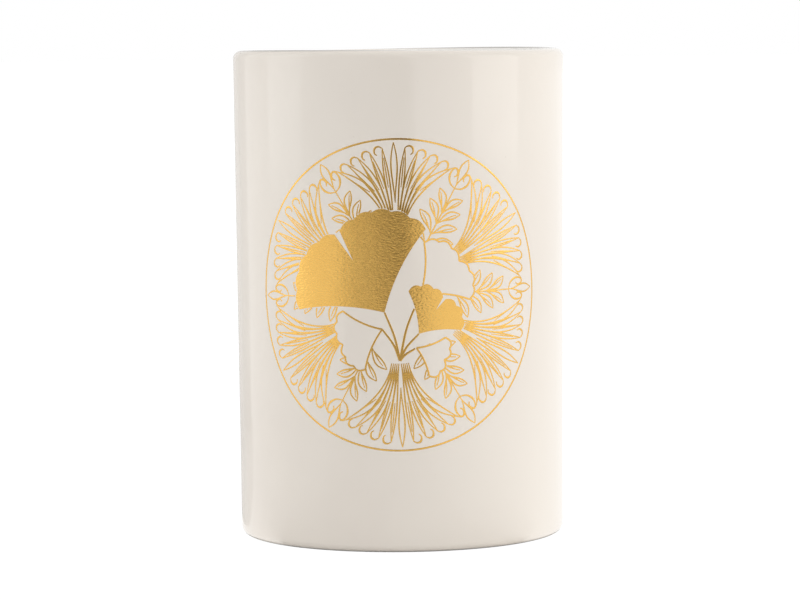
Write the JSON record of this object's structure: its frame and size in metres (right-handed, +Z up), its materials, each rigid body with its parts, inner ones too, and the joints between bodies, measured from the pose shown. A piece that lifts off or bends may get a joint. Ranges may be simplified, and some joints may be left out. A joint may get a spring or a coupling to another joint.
{
  "type": "porcelain vase",
  "caption": "Open straight-sided porcelain vase with a rounded rim and heel, a turned foot ring, and a round gold medallion of ginkgo leaves in a border of fans on its front.",
  "frame": {"origin": "middle of the plane that the foot ring stands on", "axes": "+Z up along the vase's axis, -Y towards the medallion, +X to the right of someone facing the medallion"},
  "size_m": [0.1224, 0.1225, 0.18],
  "materials": {
    "porcelain": "ivory-white porcelain under a clear gloss glaze",
    "gold": "bright gold fired over the glaze"
  },
  "bodies": {
    "root": {"vase_body": "porcelain", "medallion_ring": "gold", "ginkgo_leaf_large": "gold", "ginkgo_leaf_small": "gold", "leaf_stalk_line": "gold", "white_leaf_upper_edge": "gold", "white_leaf_left_edge": "gold", "white_leaf_right_edge": "gold", "fan_1": "gold", "fan_2": "gold", "fan_3": "gold", "fan_4": "gold", "fan_5": "gold", "fan_6": "gold", "sprig_1": "gold", "sprig_2": "gold", "sprig_3": "gold", "sprig_4": "gold"}
  },
  "joints": []
}
